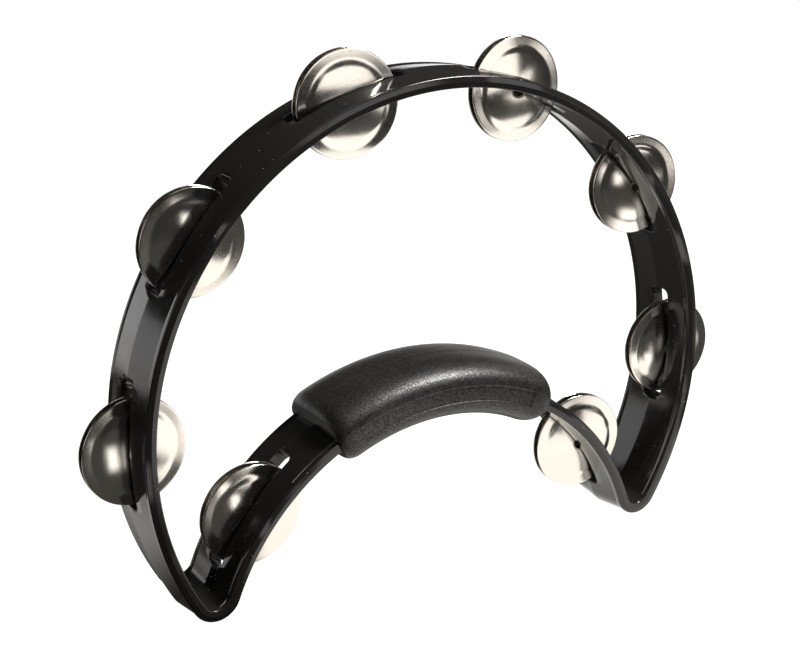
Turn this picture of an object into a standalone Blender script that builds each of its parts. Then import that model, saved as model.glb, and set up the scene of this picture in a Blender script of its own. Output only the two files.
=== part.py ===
"""Crescent tambourine: a moulded band that closes on itself, a soft grip on its inner arc,
and eight slots that each hold a steel pin with a pair of loose, domed jingles.

Metres, +Z up. The crescent lies in the XZ plane and the band's width runs along Y, with the
front at -Y. It stands on its two horn tips, and the origin is midway between them, on the
ground. Run with: blender --background --python part.py
"""
import math

import bmesh
import bpy

MM = 0.001

# Crescent outline, on the mid-line of the band's wall
OUTER_RADIUS = 133.0 * MM
INNER_RADIUS = 105.3 * MM
CENTRE_GAP = 103.1 * MM
HORN_RADIUS = 8.25 * MM

# Band section: thin at both edges, thickest along the ridge at mid-width
BAND_WIDTH = 38.5 * MM
EDGE_THICKNESS = 3.6 * MM
RIDGE_THICKNESS = 7.8 * MM
RIM_WIDTH = 2.2 * MM
RIM_STEP = 0.35 * MM
RIM_ROUND = 0.8 * MM

# Slots and pins
SLOT_LENGTH = 53.0 * MM
SLOT_WIDTH = 11.0 * MM
SLOT_CORNER = 2.5 * MM
PIN_RADIUS = 0.8 * MM
PIN_FRONT_COVER = 3.0 * MM
PIN_REAR_RECESS = 0.4 * MM
GAP = 0.3 * MM

# Jingles: a flat flange, a short steep shoulder and a shallow dome, stamped from sheet. They
# hang on the pin by the hole's upper edge, and each pair lies a little towards the front
JINGLE_RADIUS = 22.0 * MM
JINGLE_SHEET = 0.5 * MM
JINGLE_FLANGE = 3.6 * MM
JINGLE_SHOULDER_WIDTH = 1.4 * MM
JINGLE_SHOULDER_RISE = 0.8 * MM
JINGLE_DOME = 2.1 * MM
JINGLE_HOLE_RADIUS = 3.1 * MM
JINGLE_HANG = JINGLE_HOLE_RADIUS - PIN_RADIUS - GAP
JINGLE_REST_GAP = 2.8 * MM
JINGLE_REST_SHIFT = -0.9 * MM
JINGLE_STEPS = 24

# Grip: a soft sleeve moulded round the inner arc. Fullness 1 is an ellipse, less is squarer
GRIP_HALF_ANGLE = math.radians(29.1)
GRIP_HALF_WIDTH = 22.2 * MM
GRIP_RISE = 12.6 * MM
GRIP_DROP = 12.2 * MM
GRIP_SIDE_FULLNESS = 0.62
GRIP_TOP_FULLNESS = 0.72
GRIP_END_LENGTH = 7.0 * MM
GRIP_END_TOP_ROUND = 7.0 * MM
GRIP_END_LOW_ROUND = 4.5 * MM
GRIP_END_PINCH = 1.4 * MM
GRIP_SECTION_STEPS = 20
GRIP_END_STEPS = 3
GRIP_BODY_STEPS = 16

# Stations: name, arc that carries it, degrees from the top of that arc, and how the loose pair
# of jingles comes to rest there: degrees leant about X and turned about Z
STATIONS = (
    ("top_left", "outer", 17.5, 0.0, -4.0),
    ("top_right", "outer", -17.5, 0.0, 2.0),
    ("upper_left", "outer", 53.4, 2.0, 1.0),
    ("upper_right", "outer", -53.4, 0.0, -4.0),
    ("lower_left", "outer", 90.2, 0.0, 3.0),
    ("lower_right", "outer", -90.2, 0.0, -3.0),
    ("inner_left", "inner", 52.0, 1.5, 0.0),
    ("inner_right", "inner", -52.0, 0.0, -3.0),
)


def horn_centre():
    """Right horn's centre, relative to the outer arc's centre, from the two tangencies."""
    reach_outer = OUTER_RADIUS - HORN_RADIUS
    reach_inner = INNER_RADIUS + HORN_RADIUS
    z = (reach_inner ** 2 - reach_outer ** 2 - CENTRE_GAP ** 2) / (2 * CENTRE_GAP)
    return math.sqrt(reach_outer ** 2 - z ** 2), z


HORN_X, HORN_Z = horn_centre()
OUTER_CENTRE_Z = HORN_RADIUS + RIDGE_THICKNESS / 2 - HORN_Z
INNER_CENTRE_Z = OUTER_CENTRE_Z - CENTRE_GAP


def arc(centre_x, centre_z, radius, start, end, steps, side):
    """Mid-line points and outward normals of one arc, without its last point."""
    points = []
    for i in range(steps):
        angle = start + (end - start) * i / steps
        normal_x = math.cos(angle)
        normal_z = math.sin(angle)
        points.append((centre_x + radius * normal_x, centre_z + radius * normal_z,
                       side * normal_x, side * normal_z))
    return points


def band_path():
    """Closed mid-line of the band: outer arc, left horn, inner arc, right horn."""
    on_outer = math.atan2(HORN_Z, HORN_X)
    on_inner = math.atan2(HORN_Z + CENTRE_GAP, HORN_X)
    horn_z = OUTER_CENTRE_Z + HORN_Z
    path = arc(0, OUTER_CENTRE_Z, OUTER_RADIUS, on_outer, math.pi - on_outer, 72, 1)
    path += arc(-HORN_X, horn_z, HORN_RADIUS, math.pi - on_outer, 2 * math.pi - on_inner, 12, 1)
    path += arc(0, INNER_CENTRE_Z, INNER_RADIUS, math.pi - on_inner, on_inner, 44, -1)
    path += arc(HORN_X, horn_z, HORN_RADIUS, on_inner - math.pi, on_outer, 12, 1)
    return path


def band_section(allowance=0.0):
    """Closed outline of the band across its width, as (y, offset from the mid-line)."""
    half = BAND_WIDTH / 2 + allowance
    edge = EDGE_THICKNESS / 2 + allowance
    ridge = RIDGE_THICKNESS / 2 + allowance
    inset = BAND_WIDTH / 2 - RIM_WIDTH - allowance
    face = ridge + (edge - ridge) * inset / half
    quarter = [(inset, face), (inset + RIM_STEP, face + RIM_STEP),
               (half - RIM_ROUND, edge + RIM_STEP), (half, edge + RIM_STEP - RIM_ROUND)]
    outline = [(0.0, ridge)]
    outline += quarter
    outline += [(y, -n) for y, n in reversed(quarter)]
    outline.append((0.0, -ridge))
    outline += [(-y, -n) for y, n in quarter]
    outline += [(-y, n) for y, n in reversed(quarter)]
    return outline


def new_object(name, mesh_builder, material, hidden=False):
    """Object from a bmesh, with its faces turned outwards and round parts shaded smooth."""
    mesh = bpy.data.meshes.new(name)
    bmesh.ops.recalc_face_normals(mesh_builder, faces=mesh_builder.faces)
    mesh_builder.to_mesh(mesh)
    mesh_builder.free()
    mesh.shade_smooth()
    mesh.set_sharp_from_angle(angle=math.radians(30))
    thing = bpy.data.objects.new(name, mesh)
    bpy.context.scene.collection.objects.link(thing)
    if hidden:
        thing.hide_render = True
        thing.display_type = "WIRE"
    else:
        mesh.materials.append(material)
    return thing


def bridge_rings(builder, rings, close_rings, cap_ends):
    """Faces between neighbouring rings of vertices."""
    count = len(rings)
    pairs = count if close_rings else count - 1
    for i in range(pairs):
        ring = rings[i]
        following = rings[(i + 1) % count]
        size = len(ring)
        for j in range(size):
            k = (j + 1) % size
            builder.faces.new((ring[j], ring[k], following[k], following[j]))
    if cap_ends:
        builder.faces.new(rings[0])
        builder.faces.new(list(reversed(rings[-1])))


def sweep(path, section, close_rings=True):
    """Section carried along a path of (x, z, normal_x, normal_z)."""
    builder = bmesh.new()
    rings = []
    for x, z, normal_x, normal_z in path:
        rings.append([builder.verts.new((x + normal_x * n, y, z + normal_z * n)) for y, n in section])
    bridge_rings(builder, rings, close_rings, not close_rings)
    return builder


def station_frame(kind, degrees):
    """Centre of a station on the mid-line and its radial direction, as (x, z, rx, rz)."""
    angle = math.radians(90.0 + degrees)
    radius = OUTER_RADIUS if kind == "outer" else INNER_RADIUS
    centre_z = OUTER_CENTRE_Z if kind == "outer" else INNER_CENTRE_Z
    radial_x = math.cos(angle)
    radial_z = math.sin(angle)
    return radius * radial_x, centre_z + radius * radial_z, radial_x, radial_z


def rounded_rectangle(length, width, corner, steps=3):
    """Outline centred on the origin with rounded corners."""
    outline = []
    for quadrant, (sx, sy) in enumerate(((1, 1), (-1, 1), (-1, -1), (1, -1))):
        for i in range(steps + 1):
            angle = math.pi / 2 * (quadrant + i / steps)
            outline.append((sx * (length / 2 - corner) + corner * math.cos(angle),
                            sy * (width / 2 - corner) + corner * math.sin(angle)))
    return outline


def slot_cutter(name, kind, degrees):
    """Prism through the wall with the slot's outline."""
    x, z, radial_x, radial_z = station_frame(kind, degrees)
    builder = bmesh.new()
    rings = []
    for depth in (-3 * RIDGE_THICKNESS, 3 * RIDGE_THICKNESS):
        ring = []
        for along, across in rounded_rectangle(SLOT_LENGTH, SLOT_WIDTH, SLOT_CORNER):
            ring.append(builder.verts.new((x + radial_x * depth - radial_z * along, across,
                                           z + radial_z * depth + radial_x * along)))
        rings.append(ring)
    bridge_rings(builder, rings, False, True)
    return new_object(name, builder, None, hidden=True)


def rod(name, x, z, start, end, radius, steps, material, hidden=False):
    """Round bar along Y. Its origin is on its own axis."""
    builder = bmesh.new()
    rings = []
    for y in (start, end):
        ring = []
        for i in range(steps):
            angle = 2 * math.pi * i / steps
            ring.append(builder.verts.new((radius * math.cos(angle), y, radius * math.sin(angle))))
        rings.append(ring)
    bridge_rings(builder, rings, False, True)
    thing = new_object(name, builder, material, hidden)
    thing.location = (x, 0, z)
    return thing


def cut(thing, cutter):
    """Subtract a cutter with an exact Boolean."""
    modifier = thing.modifiers.new("cut_" + cutter.name, "BOOLEAN")
    modifier.operation = "DIFFERENCE"
    modifier.solver = "EXACT"
    modifier.object = cutter


def make_frame(material):
    """Moulded band with eight slots and a blind pin bore from the rear edge at each."""
    frame = new_object("frame", sweep(band_path(), band_section()), material)
    front = -BAND_WIDTH / 2 + PIN_FRONT_COVER - GAP
    rear = BAND_WIDTH / 2 + GAP
    for name, kind, degrees, _, _ in STATIONS:
        cut(frame, slot_cutter("slot_cutter_" + name, kind, degrees))
        x, z, _, _ = station_frame(kind, degrees)
        cut(frame, rod("bore_cutter_" + name, x, z, front, rear, PIN_RADIUS + GAP, 12, None, True))
    return frame


def make_pins(material):
    """One straight steel pin across each slot, pushed in from the rear edge."""
    front = -BAND_WIDTH / 2 + PIN_FRONT_COVER
    rear = BAND_WIDTH / 2 - PIN_REAR_RECESS
    for name, kind, degrees, _, _ in STATIONS:
        x, z, _, _ = station_frame(kind, degrees)
        rod("pin_" + name, x, z, front, rear, PIN_RADIUS, 12, material)


def dome_height(radius):
    """Height of the dome's inner face over the flange, inside the shoulder."""
    shoulder = JINGLE_RADIUS - JINGLE_FLANGE - JINGLE_SHOULDER_WIDTH
    return JINGLE_DOME - (JINGLE_DOME - JINGLE_SHOULDER_RISE) * (radius / shoulder) ** 2


def jingle_profile():
    """Half section (radius, height) of a jingle: dome up, flange's inner face at height 0."""
    dome_edge = JINGLE_RADIUS - JINGLE_FLANGE
    shoulder = dome_edge - JINGLE_SHOULDER_WIDTH
    lower = [(JINGLE_RADIUS, 0.0), (dome_edge, 0.0)]
    for radius in (shoulder, shoulder * 0.62, JINGLE_HOLE_RADIUS):
        lower.append((radius, dome_height(radius)))
    upper = [(radius, height + JINGLE_SHEET) for radius, height in reversed(lower)]
    return lower + upper


def jingle_mesh(facing):
    """Turned jingle about the Y axis, hanging below the pin. facing is -1 for a front dome."""
    builder = bmesh.new()
    rings = []
    for i in range(JINGLE_STEPS):
        angle = 2 * math.pi * i / JINGLE_STEPS
        ring = []
        for radius, height in jingle_profile():
            ring.append(builder.verts.new((radius * math.cos(angle), facing * height,
                                           radius * math.sin(angle) - JINGLE_HANG)))
        rings.append(ring)
    bridge_rings(builder, rings, True, False)
    return builder


def make_jingles(material):
    """A loose pair on each pin, rims facing each other across a small gap."""
    for name, kind, degrees, lean, turn in STATIONS:
        x, z, _, _ = station_frame(kind, degrees)
        for side, facing in (("front", -1), ("rear", 1)):
            jingle = new_object("jingle_%s_%s" % (name, side), jingle_mesh(facing), material)
            jingle.location = (x, JINGLE_REST_SHIFT + facing * JINGLE_REST_GAP / 2, z)
            jingle.rotation_euler = (math.radians(lean), 0.0, math.radians(turn))


def grip_section(fullness):
    """Sleeve outline as (y, height over the mid-line), drawn in a little at the ends."""
    half_width = GRIP_HALF_WIDTH - GRIP_END_PINCH * (1 - fullness)
    rise = GRIP_RISE - GRIP_END_TOP_ROUND * (1 - fullness)
    drop = GRIP_DROP - GRIP_END_LOW_ROUND * (1 - fullness)
    outline = []
    for i in range(GRIP_SECTION_STEPS):
        angle = 2 * math.pi * i / GRIP_SECTION_STEPS
        across = math.copysign(abs(math.cos(angle)) ** GRIP_SIDE_FULLNESS, math.cos(angle))
        above = math.copysign(abs(math.sin(angle)) ** GRIP_TOP_FULLNESS, math.sin(angle))
        outline.append((half_width * across, (rise if above > 0 else drop) * above))
    return outline


def grip_stations():
    """Angles along the inner arc, from the top, with the fullness of the section at each."""
    ends = []
    for i in range(GRIP_END_STEPS):
        turn = math.pi / 2 * i / GRIP_END_STEPS
        ends.append((GRIP_END_LENGTH * (1 - math.cos(turn)) / INNER_RADIUS, math.sin(turn)))
    body_half = GRIP_HALF_ANGLE - GRIP_END_LENGTH / INNER_RADIUS
    stations = [(-GRIP_HALF_ANGLE + back, fullness) for back, fullness in ends]
    for i in range(GRIP_BODY_STEPS + 1):
        stations.append((body_half * (2 * i / GRIP_BODY_STEPS - 1), 1.0))
    stations += [(GRIP_HALF_ANGLE - back, fullness) for back, fullness in reversed(ends)]
    return stations


def make_grip(material):
    """Soft sleeve round the inner arc with rounded ends and a tunnel for the band."""
    builder = bmesh.new()
    rings = []
    for angle, fullness in grip_stations():
        ring = []
        for y, height in grip_section(fullness):
            radius = INNER_RADIUS + height
            ring.append(builder.verts.new((radius * math.sin(angle), y,
                                           INNER_CENTRE_Z + radius * math.cos(angle))))
        rings.append(ring)
    bridge_rings(builder, rings, False, True)
    grip = new_object("grip", builder, material)
    past_ends = GRIP_HALF_ANGLE + math.radians(4)
    path = arc(0, INNER_CENTRE_Z, INNER_RADIUS, math.pi / 2 + past_ends, math.pi / 2 - past_ends, 22, -1)
    tunnel = sweep(path, band_section(GAP), close_rings=False)
    cut(grip, new_object("tunnel_cutter", tunnel, None, hidden=True))


def make_material(name, colour, roughness, metallic):
    """Plain surface with one colour."""
    material = bpy.data.materials.new(name)
    material.use_nodes = True
    surface = material.node_tree.nodes["Principled BSDF"]
    surface.inputs["Base Color"].default_value = (*colour, 1.0)
    surface.inputs["Roughness"].default_value = roughness
    surface.inputs["Metallic"].default_value = metallic
    return material


def main():
    """Clear the scene's objects and build the tambourine."""
    for thing in list(bpy.data.objects):
        bpy.data.objects.remove(thing)
    make_frame(make_material("glossy_black_plastic", (0.012, 0.011, 0.010), 0.12, 0.0))
    make_grip(make_material("soft_black_rubber", (0.030, 0.028, 0.028), 0.65, 0.0))
    make_pins(make_material("bright_steel", (0.60, 0.58, 0.55), 0.25, 1.0))
    make_jingles(make_material("nickel_plate", (0.72, 0.68, 0.62), 0.18, 1.0))


main()
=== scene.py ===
"""Looks of the crescent tambourine: glossy moulded band, stippled rubber grip, satin nickel jingles.

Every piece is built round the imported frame: pins give the stations of the slots, and each CAD
jingle gives the place and lean of its finished one. Lengths are in metres; MM turns millimetres
into metres. The front is at -Y.

The jingles and the band are mirrors, so what they reflect matters as much as what lights them:
the floor has lit patches, and small cards hidden from the camera stand close to the object.
"""

import math

import bmesh
import bpy
import numpy as np
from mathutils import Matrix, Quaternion, Vector


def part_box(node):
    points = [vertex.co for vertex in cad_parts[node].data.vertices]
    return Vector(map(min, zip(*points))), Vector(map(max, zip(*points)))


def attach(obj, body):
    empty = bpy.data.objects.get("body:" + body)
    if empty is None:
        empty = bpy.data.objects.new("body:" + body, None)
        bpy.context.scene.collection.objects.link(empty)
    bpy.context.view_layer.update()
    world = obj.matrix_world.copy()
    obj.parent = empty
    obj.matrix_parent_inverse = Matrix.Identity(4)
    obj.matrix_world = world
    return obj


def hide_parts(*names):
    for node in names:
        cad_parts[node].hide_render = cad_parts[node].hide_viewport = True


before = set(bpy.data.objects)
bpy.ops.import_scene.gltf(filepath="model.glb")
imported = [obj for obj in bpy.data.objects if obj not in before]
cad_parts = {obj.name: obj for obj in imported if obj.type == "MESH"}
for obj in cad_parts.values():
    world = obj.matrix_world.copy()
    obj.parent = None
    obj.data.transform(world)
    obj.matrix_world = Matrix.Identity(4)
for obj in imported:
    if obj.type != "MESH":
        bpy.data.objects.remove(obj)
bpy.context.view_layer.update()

MM = 0.001

# Angle in degrees above which an edge is shaded sharp
BAND_SHARP = 30.0
PIN_SHARP = 50.0
JINGLE_SHARP = 60.0
GRIP_SHARP = 40.0

# Crescent, on the mid-line of the band's wall
OUTER_RADIUS = 133.0 * MM
INNER_RADIUS = 105.3 * MM
CENTRE_GAP = 103.1 * MM
HORN_RADIUS = 8.25 * MM
OUTER_STEPS = 300
INNER_STEPS = 180
HORN_STEPS = 44

# Band section, half sizes
BAND_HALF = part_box("frame")[1].y
RIDGE_HALF = 3.9 * MM
EDGE_HALF = 1.8 * MM
DRAFT = (RIDGE_HALF - EDGE_HALF) / BAND_HALF
RIM_STEP = 0.30 * MM
RIM_STEP_START = 15.9 * MM
RIM_STEP_END = 17.2 * MM
RIM_CORNER = 0.62 * MM
RIM_CORNER_STEPS = 5
EDGE_CROWN = 0.34 * MM
RIDGE_EASE = 0.01 * MM
# Places across the quarter section: on the face, as shares of the rim's step, and of the crown
FACE_POINTS = (0.3 * MM, 0.7 * MM, 5.2 * MM, 10.6 * MM, 15.0 * MM)
RIM_STEP_POINTS = (-0.25, 0.0, 0.25, 0.75, 1.0, 1.2)
CROWN_POINTS = (0.15, 0.78, 0.92)

# Slots, and the soft lip round each mouth
SLOT_LENGTH = 53.0 * MM
SLOT_WIDTH = 11.0 * MM
SLOT_CORNER = 2.5 * MM
SLOT_CORNER_STEPS = 6
SLOT_SIDE_STEPS = 24
SLOT_LIP = 0.55 * MM
SLOT_LIP_DEGREES = (0, 18, 36, 54, 70)
SLOT_FLARE = 0.8 * MM
SLOT_FLARE_ANGLE = math.radians(22)
# How far the cutter runs on past the band's faces
SLOT_CLEARANCE = 6.0 * MM

# Pins, with ends as (distance from the end, share of the radius), and their blind bores
PIN_RADIUS = 0.8 * MM
PIN_STEPS = 40
PIN_ENDS = ((0.0, 0.55), (0.12 * MM, 0.86), (0.35 * MM, 1.0))
BORE_RADIUS = 1.1 * MM
BORE_STEPS = 32
BORE_FRONT_SPARE = 0.3 * MM
BORE_MOUTH_LENGTH = 0.9 * MM
BORE_MOUTH_FLARE = 0.5 * MM

# Jingles: stamped sheet with a flange, a soft shoulder and a shallow dome
JINGLE_RADIUS = 22.0 * MM
JINGLE_SHEET = 0.5 * MM
JINGLE_HOLE = 3.1 * MM
JINGLE_STEPS = 112
FLANGE_POINTS = 5
SHOULDER_POINTS = 20
DOME_POINTS = 14
HOLE_EDGE_STEPS = 6
RIM_EDGE_STEPS = 8
SLOPE_SAMPLES = 600
SHOULDER_OUTSIDE = 19.2 * MM
SHOULDER_INSIDE = 13.8 * MM
# Slope of the sheet at a few radii: level centre, dome, steeper shoulder, nearly flat flange
JINGLE_SLOPES = ((0.0, 0.0), (14.5 * MM, 0.15), (16.4 * MM, 0.26), (18.9 * MM, 0.03),
                 (JINGLE_RADIUS, 0.03))
# How far a rim is out of true: waves round the rim and their height
JINGLE_WAVES = ((2, 0.035 * MM), (3, 0.020 * MM), (7, 0.008 * MM))
JINGLE_SEED = 7

# Grip
GRIP_HALF_ANGLE = math.radians(29.1)
GRIP_HALF_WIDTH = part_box("grip")[1].y
GRIP_RISE = 12.6 * MM
GRIP_DROP = 12.2 * MM
GRIP_SIDE_FULLNESS = 0.62
GRIP_TOP_FULLNESS = 0.72
GRIP_END_LENGTH = 7.0 * MM
GRIP_END_TOP_ROUND = 7.0 * MM
GRIP_END_LOW_ROUND = 4.5 * MM
GRIP_END_PINCH = 1.4 * MM
GRIP_GAP = 0.3 * MM
PANEL_HALF_ANGLE = math.radians(23.5)
PANEL_TOP = 3.5 * MM
PANEL_BOTTOM = -3.2 * MM
PANEL_DEPTH = 0.5 * MM
PANEL_SOFTNESS = 0.35 * MM
PANEL_SIDE = GRIP_HALF_WIDTH * 0.8
SEAM_HALF = 0.3 * MM
SEAM_HEIGHT = 0.12 * MM
SEAM_HALF_ANGLE = GRIP_HALF_ANGLE * 0.8
# Mesh of the grip, and how much finer it is near the panel's edges and the seam, and how near
FINER = 3.0
PANEL_REACH = 0.6 * MM
SEAM_REACH = 0.7 * MM
END_FACE_SHARES = (0.4, 1.0)
GRIP_AROUND = 260
GRIP_ALONG = 191
GRIP_END_STEPS = 12
GRIP_OUTLINE_STEPS = 2880
TUNNEL_STEPS = 30

# Camera: the photograph's viewing angle
CAMERA_AZIMUTH = math.radians(-31.74)
CAMERA_ELEVATION = math.radians(18.17)
CAMERA_ROLL = math.radians(1.156)
CAMERA_TARGET = Vector((-0.01245, 0.0, 0.10649))
CAMERA_DISTANCE = 0.68301
CAMERA_LENS = 73.71

# Light that reaches the object from everywhere else, and the floor's half side
ROOM_LIGHT = 0.03
FLOOR_REACH = 6.0

# Lit patches of the floor: x from and to, y from and to, softness of the edge, strength.
# Where two overlap, the brighter one counts.
FLOOR_PATCHES = (
    (-0.070, 0.20, -0.085, 0.02, 0.010, 1.30),    # in front, near: inner right pair
    (-0.025, 0.205, -0.155, -0.05, 0.015, 1.35),  # in front, a little further
    (-0.020, 0.09, -0.325, -0.235, 0.015, 1.35),  # in front: upper left pair
    (0.500, 0.80, -0.82, -0.58, 0.030, 1.40),     # far right, in front: top right pair
    (-0.42, -0.13, 0.02, 0.14, 0.03, 1.05),       # left, near: the band's lower left face
    (-6.0, -0.24, 0.45, 6.0, 0.06, 1.2),          # far floor behind, left
    (0.20, 6.0, 0.35, 6.0, 0.06, 1.2),            # far floor behind, right
    (-0.24, 0.20, 0.62, 6.0, 0.06, 1.2),          # far floor behind, middle
    (0.35, 6.0, -0.15, 0.35, 0.06, 0.9),          # right side
    (-0.25, 0.60, 0.03, 0.40, 0.04, 0.15),        # dim floor behind, near
    (-0.60, 0.60, -0.60, 0.03, 0.10, 0.06),       # dim floor in front, near
)

# Light cards: name, centre, point that it faces, width, height, strength, tint, softness of edge
WHITE = (1.0, 1.0, 1.0)
WARM = (1.0, 0.97, 0.93)
MIDDLE = (0.0, 0.0, 0.11)
CARDS = (
    ("key", (0.36, -0.26, 0.75), (0.0, 0.0, 0.09), 0.30, 0.30, 60.0, WARM, 0.3),
    ("backdrop", (0.0, 1.1, 0.13), (0.0, 0.0, 0.13), 3.0, 0.34, 1.3, WHITE, 0.15),
    ("left_rim", (-0.9, 0.1, 0.35), MIDDLE, 0.5, 0.5, 1.5, WARM, 0.3),
    ("right_rim", (0.9, 0.25, 0.45), MIDDLE, 0.5, 0.5, 1.5, WARM, 0.3),
    ("overhead", (0.0, 0.1, 1.3), MIDDLE, 0.7, 0.7, 1.5, WARM, 0.3),
    ("top_bounce", (0.012, -0.15, 0.223), (0.012, 0.0, 0.223), 0.135, 0.048, 1.4, WARM, 0.3),
    ("right_bounce", (0.0823, -0.0825, 0.211), (0.6413, 0.7465, 0.211), 0.105, 0.044, 1.4, WARM, 0.1),
    ("far_bounce", (0.2087, -0.1677, 0.187), (0.7677, 0.6613, 0.187), 0.20, 0.024, 1.4, WARM, 0.1),
    ("lower_bounce", (0.015, -0.03, 0.1665), (0.015, 0.0, 0.1665), 0.14, 0.02, 1.4, WARM, 0.12),
    ("low_bounce", (0.0, -0.111, 0.035), (-0.1, 0.0, 0.035), 0.085, 0.08, 1.4, WARM, 0.10),
    ("inner_bounce", (0.165, -0.105, 0.017), (-0.793, -0.392, 0.017), 0.13, 0.035, 1.4, WARM, 0.1),
)

# Small cards that put one soft highlight on a jingle: its pin, millimetres from the pin's middle
# to the card, and the card's width and height in millimetres
GLINT_STRENGTH = 1.6
GLINT_SOFTNESS = 0.6
GLINTS = (
    ("pin_upper_left", (6.8, -30.0, 5.0), (10.0, 9.0)),
    ("pin_upper_right", (-1.5, -30.0, -2.4), (9.0, 11.0)),
    ("pin_upper_right", (14.7, -30.0, -32.4), (28.0, 17.0)),
    ("pin_lower_left", (-3.0, -30.0, -13.0), (9.0, 20.0)),
    ("pin_lower_right", (-2.0, -30.0, -18.0), (9.0, 12.0)),
    ("pin_inner_left", (-1.8, -30.0, -2.0), (8.0, 12.0)),
)


# ---------------------------------------------------------------- geometry

def horn_centre():
    """Right horn's centre, relative to the outer arc's centre, from the two tangencies."""
    reach_outer = OUTER_RADIUS - HORN_RADIUS
    reach_inner = INNER_RADIUS + HORN_RADIUS
    z = (reach_inner ** 2 - reach_outer ** 2 - CENTRE_GAP ** 2) / (2 * CENTRE_GAP)
    return math.sqrt(reach_outer ** 2 - z ** 2), z


HORN_X, HORN_Z = horn_centre()
OUTER_CENTRE_Z = HORN_RADIUS + RIDGE_HALF - HORN_Z
INNER_CENTRE_Z = OUTER_CENTRE_Z - CENTRE_GAP


def arc(centre_x, centre_z, radius, start, end, steps, side):
    """Mid-line points and outward normals of one arc, without its last point."""
    angles = start + (end - start) * np.arange(steps) / steps
    cos, sin = np.cos(angles), np.sin(angles)
    return np.stack([centre_x + radius * cos, centre_z + radius * sin, side * cos, side * sin], 1)


def band_path():
    """Closed mid-line of the band: outer arc, left horn, inner arc, right horn."""
    on_outer = math.atan2(HORN_Z, HORN_X)
    on_inner = math.atan2(HORN_Z + CENTRE_GAP, HORN_X)
    horn_z = OUTER_CENTRE_Z + HORN_Z
    return np.concatenate([
        arc(0, OUTER_CENTRE_Z, OUTER_RADIUS, on_outer, math.pi - on_outer, OUTER_STEPS, 1),
        arc(-HORN_X, horn_z, HORN_RADIUS, math.pi - on_outer, 2 * math.pi - on_inner,
            HORN_STEPS, 1),
        arc(0, INNER_CENTRE_Z, INNER_RADIUS, math.pi - on_inner, on_inner, INNER_STEPS, -1),
        arc(HORN_X, horn_z, HORN_RADIUS, on_inner - math.pi, on_outer, HORN_STEPS, 1),
    ])


def face_height(y):
    """Half thickness of the band at a distance y from its ridge."""
    return RIDGE_HALF - DRAFT * abs(y)


def band_quadrant():
    """Quarter of the section, from the ridge to the crown of the edge, as (y, half thickness)."""
    points = [(y, face_height(y)) for y in FACE_POINTS]
    points[0] = (points[0][0], points[0][1] - RIDGE_EASE)
    step = RIM_STEP_END - RIM_STEP_START
    foot = face_height(RIM_STEP_START)
    for t in RIM_STEP_POINTS:
        rise = RIM_STEP * min(max(t, 0.0), 1.0)
        draft = DRAFT * step * min(t, 0.0)
        points.append((RIM_STEP_START + step * t, foot + rise - draft))
    corner_n = foot + RIM_STEP - RIM_CORNER
    crown = math.atan2(EDGE_CROWN, corner_n)
    corner_y = BAND_HALF - EDGE_CROWN - RIM_CORNER
    for i in range(RIM_CORNER_STEPS + 1):
        angle = math.pi / 2 + (crown - math.pi / 2) * i / RIM_CORNER_STEPS
        points.append((corner_y + RIM_CORNER * math.cos(angle),
                       corner_n + RIM_CORNER * math.sin(angle)))
    last_y, last_n = points[-1]
    for share in CROWN_POINTS:
        points.append((last_y + (BAND_HALF - last_y) * share, last_n * (1 - share)))
    return points


def band_section(allowance=0.0):
    """Closed outline of the band across its width."""
    quarter = band_quadrant()
    outline = [(0.0, RIDGE_HALF - 2 * RIDGE_EASE)]
    outline += quarter
    outline.append((BAND_HALF, 0.0))
    outline += [(y, -n) for y, n in reversed(quarter)]
    outline.append((0.0, -RIDGE_HALF + 2 * RIDGE_EASE))
    outline += [(-y, -n) for y, n in quarter]
    outline.append((-BAND_HALF, 0.0))
    outline += [(-y, n) for y, n in reversed(quarter)]
    off_ridge = FACE_POINTS[1]
    return np.array([(y + math.copysign(allowance, y) * (abs(y) > off_ridge),
                      n + math.copysign(allowance, n)) for y, n in outline])


def loft(builder, points, closed):
    """Adds quads between rings of points to a bmesh, its last ring joined to the first or capped."""
    rings = [[builder.verts.new(p) for p in ring] for ring in points]
    count = len(rings)
    for i in range(count if closed else count - 1):
        ring, following = rings[i], rings[(i + 1) % count]
        size = len(ring)
        for j in range(size):
            k = (j + 1) % size
            builder.faces.new((ring[j], ring[k], following[k], following[j]))
    if not closed:
        builder.faces.new(rings[0])
        builder.faces.new(list(reversed(rings[-1])))
    return builder


def shade(mesh, sharp):
    """Smooth shading, with edges sharper than an angle in degrees left sharp."""
    mesh.shade_smooth()
    mesh.set_sharp_from_angle(angle=math.radians(sharp))


def add_mesh(name, builder, sharp=BAND_SHARP):
    """Object from a bmesh, faces turned outwards, shaded smooth up to an angle."""
    mesh = bpy.data.meshes.new(name)
    bmesh.ops.recalc_face_normals(builder, faces=builder.faces)
    builder.to_mesh(mesh)
    builder.free()
    shade(mesh, sharp)
    thing = bpy.data.objects.new(name, mesh)
    bpy.context.scene.collection.objects.link(thing)
    return thing


def finish_piece(thing, material, body, nodes):
    """Material, body and the CAD nodes that the piece stands for."""
    thing.data.materials.clear()
    thing.data.materials.append(material)
    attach(thing, body)
    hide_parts(*nodes)


def stations():
    """Each pin's name, lowest and highest corners, radial direction, arc radius and arc centre."""
    found = []
    for node in sorted(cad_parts):
        if not node.startswith("pin_"):
            continue
        low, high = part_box(node)
        centre = (low + high) / 2
        inner = node.startswith("pin_inner")
        radius = INNER_RADIUS if inner else OUTER_RADIUS
        centre_z = INNER_CENTRE_Z if inner else OUTER_CENTRE_Z
        radial = Vector((centre.x, 0.0, centre.z - centre_z)).normalized()
        found.append((node, low, high, radial, radius, centre_z))
    return found


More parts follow.
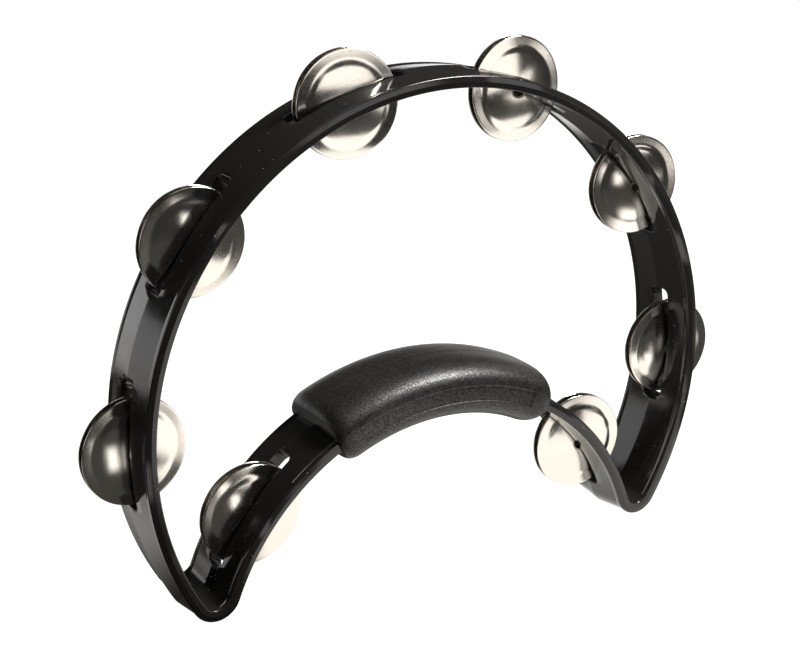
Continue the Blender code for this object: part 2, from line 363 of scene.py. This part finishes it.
def slot_outline(grow):
    """Rounded rectangle as (along, across), grown outwards, with its long sides divided."""
    corner = SLOT_CORNER + grow
    along = SLOT_LENGTH / 2 - SLOT_CORNER
    across = SLOT_WIDTH / 2 - SLOT_CORNER
    points = []
    for quadrant, (sx, sy) in enumerate(((1, 1), (-1, 1), (-1, -1), (1, -1))):
        for i in range(SLOT_CORNER_STEPS + 1):
            angle = math.pi / 2 * (quadrant + i / SLOT_CORNER_STEPS)
            points.append((sx * along + corner * math.cos(angle),
                           sy * across + corner * math.sin(angle)))
        if quadrant % 2 == 0:
            for i in range(1, SLOT_SIDE_STEPS):
                points.append((sx * along * (1 - 2 * i / SLOT_SIDE_STEPS), sy * (across + corner)))
    return points


def slot_rings(radial, radius, centre_z):
    """Rings of one slot cutter, from outside the band's outer face to inside its inner one."""
    lips = []
    for degrees in SLOT_LIP_DEGREES:
        angle = math.radians(degrees)
        lips.append((SLOT_LIP * (1 - math.cos(angle)), SLOT_LIP * (1 - math.sin(angle))))
    flare_rise = SLOT_FLARE * math.tan(SLOT_FLARE_ANGLE)
    lips.append((lips[-1][0] + SLOT_FLARE, lips[-1][1] - flare_rise))
    lips.append((lips[-1][0], lips[-1][1] - SLOT_CLEARANCE))
    tangent = Vector((-radial.z, 0.0, radial.x))
    origin = Vector((0.0, 0.0, centre_z))
    rings = []
    for side, mouth in ((1, list(reversed(lips))), (-1, lips)):
        for grow, depth in mouth:
            ring = []
            for along, across in slot_outline(grow):
                surface = radius + side * (face_height(across) - depth)
                height = math.sqrt(surface ** 2 - along ** 2)
                ring.append(origin + radial * height + tangent * along + Vector((0, across, 0)))
            rings.append(ring)
    return rings


def rod_rings(x, z, levels, steps):
    """Rings about Y at (y, radius) levels."""
    turns = 2 * math.pi * np.arange(steps) / steps
    return [[(x + r * math.cos(t), y, z + r * math.sin(t)) for t in turns] for y, r in levels]


def subtract(thing, cutter):
    """Cuts with an exact Boolean, keeps the result as the mesh and removes the cutter."""
    modifier = thing.modifiers.new("cut", "BOOLEAN")
    modifier.operation = "DIFFERENCE"
    modifier.solver = "EXACT"
    modifier.object = cutter
    graph = bpy.context.evaluated_depsgraph_get()
    mesh = bpy.data.meshes.new_from_object(thing.evaluated_get(graph))
    thing.modifiers.clear()
    thing.data = mesh
    bpy.data.objects.remove(cutter)


def make_band(material):
    """Moulded band with eight lipped slots and a blind bore for each pin."""
    section = band_section()
    rings = []
    for x, z, nx, nz in band_path():
        rings.append([(x + nx * n, y, z + nz * n) for y, n in section])
    band = add_mesh("band", loft(bmesh.new(), rings, True))
    slots = bmesh.new()
    bores = bmesh.new()
    for _, low, high, radial, radius, centre_z in stations():
        loft(slots, slot_rings(radial, radius, centre_z), False)
        centre = (low + high) / 2
        levels = [(low.y - BORE_FRONT_SPARE, BORE_RADIUS), (high.y, BORE_RADIUS),
                  (high.y + BORE_MOUTH_LENGTH, BORE_RADIUS + BORE_MOUTH_FLARE)]
        loft(bores, rod_rings(centre.x, centre.z, levels, BORE_STEPS), False)
    subtract(band, add_mesh("slot_cutter", slots))
    subtract(band, add_mesh("bore_cutter", bores))
    shade(band.data, BAND_SHARP)
    finish_piece(band, material, "frame", ["frame"])


def make_pins(material):
    """Steel pins with domed ends."""
    for node, low, high, *_ in stations():
        centre = (low + high) / 2
        levels = [(low.y + inset, PIN_RADIUS * share) for inset, share in PIN_ENDS]
        levels += [(high.y - inset, PIN_RADIUS * share) for inset, share in reversed(PIN_ENDS)]
        rings = rod_rings(centre.x, centre.z, levels, PIN_STEPS)
        pin = add_mesh("steel_" + node, loft(bmesh.new(), rings, False), PIN_SHARP)
        finish_piece(pin, material, "frame", [node])


def smooth_step(value):
    """0 to 1 with level ends."""
    t = np.clip(value, 0.0, 1.0)
    return t * t * (3 - 2 * t)


def dome_height(radius):
    """Height of the sheet's inner face over the rim: its slope, eased between the set radii."""
    fine = np.linspace(0.0, JINGLE_RADIUS, SLOPE_SAMPLES)
    slope = np.zeros_like(fine)
    for (r0, s0), (r1, s1) in zip(JINGLE_SLOPES, JINGLE_SLOPES[1:]):
        share = np.clip((fine - r0) / (r1 - r0), 0.0, 1.0)
        share = share if r0 == 0.0 else smooth_step(share)
        slope = np.where(fine >= r0, s0 + (s1 - s0) * share, slope)
    fallen = np.cumsum(slope) * (fine[1] - fine[0])
    return np.interp(radius, fine, fallen[-1] - fallen)


def jingle_profile():
    """Half section (radius, height) of the sheet, closed, with round rim and hole edges."""
    half = JINGLE_SHEET / 2
    radii = np.concatenate([
        np.linspace(JINGLE_RADIUS - half, SHOULDER_OUTSIDE, FLANGE_POINTS)[:-1],
        np.linspace(SHOULDER_OUTSIDE, SHOULDER_INSIDE, SHOULDER_POINTS)[:-1],
        np.linspace(SHOULDER_INSIDE, JINGLE_HOLE + half, DOME_POINTS),
    ])
    middle = dome_height(radii) + half
    points = [(r, h - half) for r, h in zip(radii, middle)]
    for i in range(1, HOLE_EDGE_STEPS):
        angle = -math.pi / 2 - math.pi * i / HOLE_EDGE_STEPS
        points.append((radii[-1] + half * math.cos(angle), middle[-1] + half * math.sin(angle)))
    points += [(r, h + half) for r, h in zip(radii[::-1], middle[::-1])]
    for i in range(1, RIM_EDGE_STEPS):
        angle = math.pi / 2 - math.pi * i / RIM_EDGE_STEPS
        points.append((radii[0] + half * math.cos(angle), middle[0] + half * math.sin(angle)))
    return np.array(points)


def disc_frame(node, facing):
    """Centre of the rim plane and two in-plane directions of a CAD jingle, with its axis."""
    points = np.array([v.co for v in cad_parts[node].data.vertices])
    centre = points.mean(axis=0)
    axis = np.linalg.eigh(np.cov((points - centre).T))[1][:, 0]
    axis *= math.copysign(1.0, axis[1] * facing)
    rim = centre + axis * ((points - centre) @ axis).min()
    side = np.cross((0.0, 0.0, 1.0), axis)
    side /= np.linalg.norm(side)
    return rim, side, np.cross(axis, side), axis


def make_jingles(material):
    """A finished jingle for each CAD one, each very slightly out of true in its own way."""
    random = np.random.default_rng(JINGLE_SEED)
    profile = jingle_profile()
    turns = 2 * math.pi * np.arange(JINGLE_STEPS) / JINGLE_STEPS
    for node in sorted(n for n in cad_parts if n.startswith("jingle_")):
        rim, side, up, axis = disc_frame(node, -1 if node.endswith("front") else 1)
        phases = random.uniform(0, 2 * math.pi, len(JINGLE_WAVES))
        rings = []
        for turn in turns:
            wobble = sum(height * math.cos(waves * turn + phase)
                         for (waves, height), phase in zip(JINGLE_WAVES, phases))
            radial = side * math.cos(turn) + up * math.sin(turn)
            share = (profile[:, 0] / JINGLE_RADIUS) ** 2
            heights = profile[:, 1] + wobble * share
            rings.append(rim + np.outer(profile[:, 0], radial) + np.outer(heights, axis))
        disc = add_mesh("nickel_" + node, loft(bmesh.new(), rings, True), JINGLE_SHARP)
        finish_piece(disc, material, node, [node])


def grip_outline(fullness):
    """Dense sleeve outline (y, height over the mid-line), drawn in a little at the ends."""
    half_width = GRIP_HALF_WIDTH - GRIP_END_PINCH * (1 - fullness)
    rise = GRIP_RISE - GRIP_END_TOP_ROUND * (1 - fullness)
    drop = GRIP_DROP - GRIP_END_LOW_ROUND * (1 - fullness)
    angles = 2 * math.pi * np.arange(GRIP_OUTLINE_STEPS + 1) / GRIP_OUTLINE_STEPS
    cos, sin = np.cos(angles), np.sin(angles)
    across = np.sign(cos) * np.abs(cos) ** GRIP_SIDE_FULLNESS
    above = np.sign(sin) * np.abs(sin) ** GRIP_TOP_FULLNESS
    return np.stack([half_width * across, np.where(above > 0, rise, drop) * above], 1)


def spread(outline, count, weight):
    """The outline at count points, closer together where weight is high."""
    steps = np.linalg.norm(np.diff(outline, axis=0), axis=1)
    middle = (outline[1:] + outline[:-1]) / 2
    travelled = np.concatenate([[0.0], np.cumsum(steps * weight(middle))])
    wanted = travelled[-1] * np.arange(count) / count
    return np.stack([np.interp(wanted, travelled, outline[:, k]) for k in (0, 1)], 1)


def grip_weight(points):
    """Finer mesh along the panel's long edges and the mould seam."""
    y, h = points[:, 0], points[:, 1]
    on_side = np.abs(y) > PANEL_SIDE
    edges = np.exp(-((h - PANEL_TOP) / PANEL_REACH) ** 2)
    edges = edges + np.exp(-((h - PANEL_BOTTOM) / PANEL_REACH) ** 2)
    seam = np.exp(-(y / SEAM_REACH) ** 2)
    return 1.0 + FINER * edges * on_side + FINER * seam


def grip_relief(points, angle):
    """Sleeve ring with the blank panel sunk into both sides and the seam raised along it."""
    y, h = points[:, 0].copy(), points[:, 1].copy()
    inside_h = smooth_step(0.5 + (PANEL_TOP - h) / (2 * PANEL_SOFTNESS))
    inside_h = inside_h * smooth_step(0.5 + (h - PANEL_BOTTOM) / (2 * PANEL_SOFTNESS))
    ends = (PANEL_HALF_ANGLE - abs(angle)) * INNER_RADIUS
    inside = inside_h * smooth_step(0.5 + ends / (2 * PANEL_SOFTNESS))
    y -= np.sign(y) * PANEL_DEPTH * inside * (np.abs(y) > PANEL_SIDE)
    seam = np.clip(1 - np.abs(y) / SEAM_HALF, 0.0, 1.0) * (abs(angle) < SEAM_HALF_ANGLE)
    h += np.sign(h) * SEAM_HEIGHT * seam
    return np.stack([y, h], 1)


def on_inner_arc(section, angle):
    """Section points (y, height) placed at an angle from the inner arc's top."""
    radius = INNER_RADIUS + section[:, 1]
    height = INNER_CENTRE_Z + radius * math.cos(angle)
    return np.stack([radius * math.sin(angle), section[:, 0], height], 1)


def make_grip(material):
    """Rubber sleeve: outer skin, end faces round the band and the tunnel that holds it."""
    ends = []
    for i in range(GRIP_END_STEPS + 1):
        turn = math.pi / 2 * i / GRIP_END_STEPS
        ends.append((GRIP_END_LENGTH * (1 - math.cos(turn)) / INNER_RADIUS, math.sin(turn)))
    body_half = GRIP_HALF_ANGLE - GRIP_END_LENGTH / INNER_RADIUS
    levels = [(-GRIP_HALF_ANGLE + back, full) for back, full in ends[:-1]]
    levels += [(body_half * t, 1.0) for t in np.linspace(-1, 1, GRIP_ALONG)]
    levels += [(GRIP_HALF_ANGLE - back, full) for back, full in reversed(ends[:-1])]
    rings = []
    for angle, fullness in levels:
        outline = spread(grip_outline(fullness), GRIP_AROUND, grip_weight)
        rings.append(on_inner_arc(grip_relief(outline, angle), angle))
    # The tunnel's outline starts where the sleeve's does and runs the same way round
    tunnel = band_section(GRIP_GAP)
    tunnel = np.roll(tunnel, -int(np.argmax(tunnel[:, 0])), axis=0)
    if tunnel[3, 1] < 0:
        tunnel = np.roll(tunnel[::-1], 1, axis=0)
    tunnel = spread(np.vstack([tunnel, tunnel[:1]]), GRIP_AROUND, lambda p: np.ones(len(p)))
    face = spread(grip_outline(0.0), GRIP_AROUND, grip_weight)
    for share in END_FACE_SHARES:
        rings.append(on_inner_arc(face + (tunnel - face) * share, GRIP_HALF_ANGLE))
    for t in np.linspace(1, -1, TUNNEL_STEPS)[1:-1]:
        rings.append(on_inner_arc(tunnel, GRIP_HALF_ANGLE * t))
    for share in reversed(END_FACE_SHARES):
        rings.append(on_inner_arc(face + (tunnel - face) * share, -GRIP_HALF_ANGLE))
    grip = add_mesh("rubber_grip", loft(bmesh.new(), rings, True), GRIP_SHARP)
    finish_piece(grip, material, "frame", ["grip"])


# ---------------------------------------------------------------- materials
# Scales of noise and cells are per metre, and colours are linear.

class Nodes:
    """Short way to write a node tree: each call adds a node and links or sets its inputs."""

    def __init__(self, tree):
        self.tree = tree
        tree.nodes.clear()

    def add(self, kind, inputs=None, **settings):
        node = self.tree.nodes.new(kind)
        for key, value in settings.items():
            setattr(node, key, value)
        for key, value in (inputs or {}).items():
            if isinstance(value, bpy.types.NodeSocket):
                self.tree.links.new(value, node.inputs[key])
            else:
                node.inputs[key].default_value = value
        return node

    def math(self, operation, a, b=0.0):
        return self.add("ShaderNodeMath", {0: a, 1: b}, operation=operation).outputs[0]

    def range(self, value, low, high, new_low=0.0, new_high=1.0):
        node = self.add("ShaderNodeMapRange", {"Value": value, "From Min": low, "From Max": high,
                                               "To Min": new_low, "To Max": new_high},
                        interpolation_type="SMOOTHSTEP")
        return node.outputs[0]

    def noise(self, scale, detail=2.0, stretch=None):
        place = self.add("ShaderNodeTexCoord").outputs["Object"]
        if stretch:
            place = self.add("ShaderNodeMapping", {"Vector": place, "Scale": stretch}).outputs[0]
        inputs = {"Vector": place, "Scale": scale, "Detail": detail}
        return self.add("ShaderNodeTexNoise", inputs).outputs[0]

    def cells(self, scale):
        place = self.add("ShaderNodeTexCoord").outputs["Object"]
        return self.add("ShaderNodeTexVoronoi", {"Vector": place, "Scale": scale}).outputs["Distance"]

    def mix(self, share, first, second):
        node = self.add("ShaderNodeMix", {"Factor": share}, data_type="RGBA")
        for socket, value in ((node.inputs[6], first), (node.inputs[7], second)):
            if isinstance(value, bpy.types.NodeSocket):
                self.tree.links.new(value, socket)
            else:
                socket.default_value = value
        return node.outputs[2]

    def bump(self, height, distance, strength=1.0, normal=None):
        inputs = {"Height": height, "Distance": distance, "Strength": strength}
        if normal is not None:
            inputs["Normal"] = normal
        return self.add("ShaderNodeBump", inputs).outputs[0]

    def edge(self, radius):
        """1 on convex edges, 0 on flats, from the difference of a rounded and a true normal."""
        soft = self.add("ShaderNodeBevel", {"Radius": radius}, samples=4).outputs[0]
        true = self.add("ShaderNodeNewGeometry").outputs["Normal"]
        same = self.add("ShaderNodeVectorMath", {0: soft, 1: true}, operation="DOT_PRODUCT")
        return self.range(same.outputs["Value"], 0.99, 0.85)

    def finish(self, **inputs):
        surface = self.add("ShaderNodeBsdfPrincipled", inputs)
        self.add("ShaderNodeOutputMaterial", {"Surface": surface.outputs[0]})


def new_material(name):
    """Material with an empty node tree."""
    material = bpy.data.materials.new(name)
    material.use_nodes = True
    return material, Nodes(material.node_tree)


def colour(red, green, blue):
    return (red, green, blue, 1.0)


def plastic_material():
    """Glossy black moulding: faint orange peel, hairline scratches, dust, and rubbed edges that are
    rougher and painted paler as a highlight.
    """
    material, n = new_material("band_plastic")
    broad = n.noise(35.0, 3.0)
    scratches = n.range(n.noise(900.0, 1.0, (0.12, 1.6, 0.12)), 0.62, 0.70)
    rare = n.range(n.noise(160.0, 0.0), 0.62, 0.66)
    dust = n.math("MULTIPLY", n.range(n.cells(420.0), 0.10, 0.05), rare)
    base = n.mix(broad, colour(0.010, 0.0095, 0.009), colour(0.018, 0.017, 0.016))
    # Painted highlight along the edges: patches of the convex edges are coloured paler. The same
    # patches are also made rougher below, as rubbed.
    convex_edges = n.math("MULTIPLY", n.edge(0.5 * MM), n.range(n.noise(70.0, 3.0), 0.45, 0.7))
    base = n.mix(n.math("MULTIPLY", convex_edges, 0.5), base, colour(0.07, 0.066, 0.06))
    base = n.mix(dust, base, colour(0.45, 0.44, 0.42))
    roughness = n.range(broad, 0.3, 0.7, 0.085, 0.15)
    roughness = n.math("ADD", roughness, n.math("MULTIPLY", scratches, 0.10))
    roughness = n.math("ADD", roughness, n.math("MULTIPLY", dust, 0.5))
    roughness = n.math("ADD", roughness, n.math("MULTIPLY", convex_edges, 0.12))
    peel = n.bump(n.noise(260.0, 2.0), 0.02 * MM, 0.35)
    normal = n.bump(n.noise(60.0, 1.0), 0.08 * MM, 0.4, peel)
    n.finish(**{"Base Color": base, "Roughness": roughness, "Normal": normal, "IOR": 1.5})
    return material


def nickel_material():
    """Satin nickel plate: fine tumbled grain, soft stains and polished rims."""
    material, n = new_material("jingle_nickel_plate")
    broad = n.noise(55.0, 3.0)
    grain = n.noise(1500.0, 2.0)
    few = n.range(n.noise(240.0, 1.0), 0.5, 0.65)
    pits = n.math("MULTIPLY", n.range(n.cells(700.0), 0.16, 0.06), few)
    base = n.mix(broad, colour(0.74, 0.70, 0.64), colour(0.86, 0.82, 0.76))
    base = n.mix(n.math("MULTIPLY", pits, 0.5), base, colour(0.25, 0.22, 0.19))
    roughness = n.range(broad, 0.3, 0.7, 0.11, 0.16)
    roughness = n.math("ADD", roughness, n.math("MULTIPLY", n.range(grain, 0.4, 0.7), 0.05))
    convex_edges = n.edge(0.3 * MM)
    roughness = n.math("SUBTRACT", roughness, n.math("MULTIPLY", convex_edges, 0.05))
    fine = n.bump(grain, 0.012 * MM, 0.35)
    normal = n.bump(n.noise(180.0, 2.0), 0.05 * MM, 0.3, fine)
    n.finish(**{"Base Color": base, "Metallic": 1.0, "Roughness": roughness, "Normal": normal})
    return material


def steel_material():
    """Drawn steel: fine lines round the wire and a little tarnish."""
    material, n = new_material("pin_drawn_steel")
    lines = n.noise(1200.0, 1.0, (0.2, 3.0, 0.2))
    stain = n.noise(90.0, 3.0)
    base = n.mix(stain, colour(0.42, 0.40, 0.37), colour(0.60, 0.58, 0.54))
    roughness = n.range(lines, 0.3, 0.7, 0.22, 0.38)
    n.finish(**{"Base Color": base, "Metallic": 1.0, "Roughness": roughness,
                "Normal": n.bump(lines, 0.01 * MM, 0.5)})
    return material


def rubber_material():
    """Stippled black rubber: pebbles, a speckled sheen, and a painted highlight: the convex edges are
    coloured paler.
    """
    material, n = new_material("grip_rubber_stipple")
    pebbles = n.cells(1050.0)
    rough_noise = n.noise(900.0, 2.0)
    broad = n.noise(45.0, 3.0)
    height = n.math("ADD", n.math("MULTIPLY", pebbles, 0.7), rough_noise)
    grain = n.range(rough_noise, 0.35, 0.65)
    base = n.mix(grain, colour(0.006, 0.0055, 0.005), colour(0.018, 0.017, 0.016))
    base = n.mix(n.math("MULTIPLY", n.range(broad, 0.45, 0.7), 0.35), base, colour(0.024, 0.022, 0.020))
    # Painted highlight: the convex edges are coloured paler.
    convex_edges = n.math("MULTIPLY", n.edge(0.8 * MM), 0.4)
    base = n.mix(convex_edges, base, colour(0.07, 0.066, 0.06))
    roughness = n.range(broad, 0.3, 0.7, 0.38, 0.45)
    sparkle = n.range(n.noise(1500.0, 1.0), 0.35, 0.65, 0.24, 0.72)
    n.finish(**{"Base Color": base, "Roughness": roughness, "Specular IOR Level": sparkle,
                "Normal": n.bump(height, 0.06 * MM, 0.9)})
    return material


# ---------------------------------------------------------------- stage

def card(name, centre, aim, width, height, strength, tint, softness):
    """Soft-edged light card, lit on the side that faces a point, that casts no shadow and is not
    seen by the camera."""
    mesh = bpy.data.meshes.new(name)
    corners = [(-width / 2, -height / 2, 0), (width / 2, -height / 2, 0),
               (width / 2, height / 2, 0), (-width / 2, height / 2, 0)]
    mesh.from_pydata(corners, [], [(0, 1, 2, 3)])
    thing = bpy.data.objects.new(name, mesh)
    bpy.context.scene.collection.objects.link(thing)
    thing.location = centre
    thing.rotation_mode = "QUATERNION"
    thing.rotation_quaternion = (Vector(aim) - Vector(centre)).to_track_quat("Z", "Y")
    thing.visible_camera = False
    thing.visible_shadow = False
    material, n = new_material(name)
    place = n.add("ShaderNodeTexCoord").outputs["Object"]
    parts = n.add("ShaderNodeSeparateXYZ", {0: place})
    share = 1.0
    for axis, size in ((0, width), (1, height)):
        away = n.math("ABSOLUTE", parts.outputs[axis])
        edge = n.range(away, size / 2, size / 2 * (1 - softness))
        share = n.math("MULTIPLY", edge, share)
    light = n.add("ShaderNodeEmission", {"Color": colour(*tint), "Strength": strength})
    clear = n.add("ShaderNodeBsdfTransparent")
    front = n.math("SUBTRACT", 1.0, n.add("ShaderNodeNewGeometry").outputs["Backfacing"])
    share = n.math("MULTIPLY", share, front)
    mixed = n.add("ShaderNodeMixShader", {0: share, 1: clear.outputs[0], 2: light.outputs[0]})
    n.add("ShaderNodeOutputMaterial", {"Surface": mixed.outputs[0]})
    mesh.materials.append(material)


def lit_patches(n, parts):
    """Strength of the floor's soft-edged lit patches, as mirrors in the object see them."""
    total = ROOM_LIGHT
    for x0, x1, y0, y1, soft, strength in FLOOR_PATCHES:
        share = strength
        for socket, low, high in ((parts.outputs[0], x0, x1), (parts.outputs[1], y0, y1)):
            share = n.math("MULTIPLY", n.range(socket, low - soft, low + soft), share)
            share = n.math("MULTIPLY", n.range(socket, high + soft, high - soft), share)
        total = n.math("MAXIMUM", total, share)
    return total


def make_floor():
    """Pale floor under the object and far round it: white to the camera, with lit patches to
    everything else."""
    builder = bmesh.new()
    reach = FLOOR_REACH
    corners = [(-reach, -reach, 0), (reach, -reach, 0), (reach, reach, 0), (-reach, reach, 0)]
    builder.faces.new([builder.verts.new(c) for c in corners])
    floor = add_mesh("floor", builder)
    material, n = new_material("pale_floor")
    diffuse = n.add("ShaderNodeBsdfDiffuse", {"Color": colour(0.25, 0.25, 0.25)})
    glow = n.add("ShaderNodeEmission", {"Color": colour(1, 1, 1), "Strength": 1.0})
    seen = n.add("ShaderNodeAddShader", {0: diffuse.outputs[0], 1: glow.outputs[0]})
    place = n.add("ShaderNodeNewGeometry").outputs["Position"]
    parts = n.add("ShaderNodeSeparateXYZ", {0: place})
    mirrored = n.add("ShaderNodeEmission", {"Color": colour(1.0, 0.97, 0.92),
                                            "Strength": lit_patches(n, parts)})
    path = n.add("ShaderNodeLightPath")
    chosen = n.add("ShaderNodeMixShader", {0: path.outputs["Is Camera Ray"], 1: mirrored.outputs[0],
                                           2: seen.outputs[0]})
    n.add("ShaderNodeOutputMaterial", {"Surface": chosen.outputs[0]})
    floor.data.materials.append(material)


def make_world():
    """White behind the object for the camera, a dim room for everything else."""
    world = bpy.data.worlds.new("studio")
    bpy.context.scene.world = world
    world.use_nodes = True
    n = Nodes(world.node_tree)
    path = n.add("ShaderNodeLightPath")
    room = n.add("ShaderNodeBackground", {"Color": colour(1.0, 0.98, 0.95), "Strength": ROOM_LIGHT})
    white = n.add("ShaderNodeBackground", {"Color": colour(1, 1, 1), "Strength": 1.0})
    mixed = n.add("ShaderNodeMixShader", {0: path.outputs["Is Camera Ray"], 1: room.outputs[0],
                                          2: white.outputs[0]})
    n.add("ShaderNodeOutputWorld", {"Surface": mixed.outputs[0]})


def pin_centre(node):
    """Middle of a pin."""
    low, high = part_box(node)
    return (low + high) / 2


def make_lights():
    """Light cards round the object, and the small ones that face a pin."""
    for settings in CARDS:
        card(*settings)
    for i, (pin, offset, (width, height)) in enumerate(GLINTS):
        centre = pin_centre(pin)
        place = centre + Vector(offset) * MM
        card("glint_%d" % i, place, centre, width * MM, height * MM, GLINT_STRENGTH, WARM,
             GLINT_SOFTNESS)


def make_camera():
    """Camera at the photograph's viewing angle."""
    data = bpy.data.cameras.new("camera")
    camera = bpy.data.objects.new("camera", data)
    bpy.context.scene.collection.objects.link(camera)
    back = Vector((math.sin(CAMERA_AZIMUTH) * math.cos(CAMERA_ELEVATION),
                   -math.cos(CAMERA_AZIMUTH) * math.cos(CAMERA_ELEVATION),
                   math.sin(CAMERA_ELEVATION)))
    camera.location = CAMERA_TARGET + back * CAMERA_DISTANCE
    camera.rotation_mode = "QUATERNION"
    level = (-back).to_track_quat("-Z", "Y")
    camera.rotation_quaternion = Quaternion(back, CAMERA_ROLL) @ level
    data.sensor_width = 36.0
    data.lens = CAMERA_LENS
    data.clip_start = 0.01
    bpy.context.scene.camera = camera


make_band(plastic_material())
make_pins(steel_material())
make_jingles(nickel_material())
make_grip(rubber_material())
make_floor()
make_world()
make_lights()
make_camera()
bpy.context.scene.view_settings.view_transform = "Standard"
